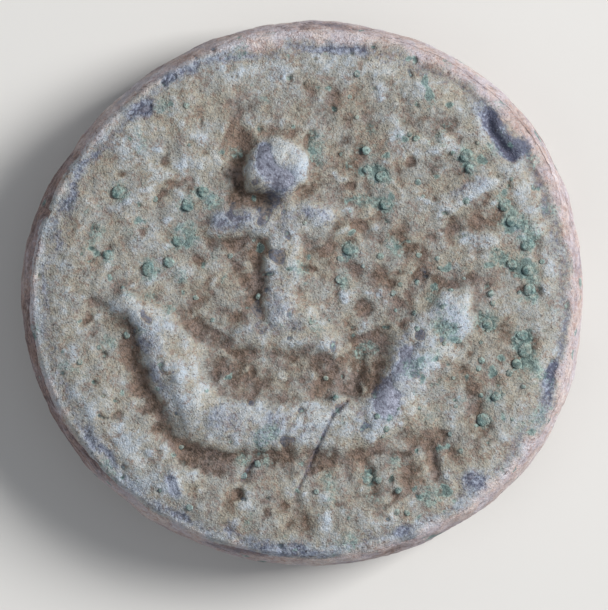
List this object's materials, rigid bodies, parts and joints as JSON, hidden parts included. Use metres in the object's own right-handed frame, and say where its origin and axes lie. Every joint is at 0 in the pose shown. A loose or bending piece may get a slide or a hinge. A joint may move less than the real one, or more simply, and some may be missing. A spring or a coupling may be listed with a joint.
{
  "type": "token",
  "caption": "Thick round struck metal token with an anchor in relief inside a raised rim, corroded, with soil and lime crusts and green nodules.",
  "frame": {"origin": "centre of the outline's box, on the plane that the token's back rests on", "axes": "+Z out of the anchor side, along the token's thickness; +Y towards the anchor's ring; +X to the right when the anchor is upright"},
  "size_m": [0.0182, 0.0178, 0.0041],
  "materials": {
    "patinated_metal": "copper alloy with a dull bluish-slate patina, worn paler on the high points",
    "soil_crust": "dry, gritty khaki-grey soil crust, fully rough",
    "lime_crust": "pale pinkish-beige lime skin, fine grained and dull",
    "verdigris": "grainy grey-green copper salts, dull"
  },
  "bodies": {
    "root": {"token_body": "patinated_metal", "edge_lime": "lime_crust", "obverse_soil": "soil_crust", "reverse_soil": "soil_crust", "verdigris_nodules": "verdigris"}
  },
  "joints": []
}
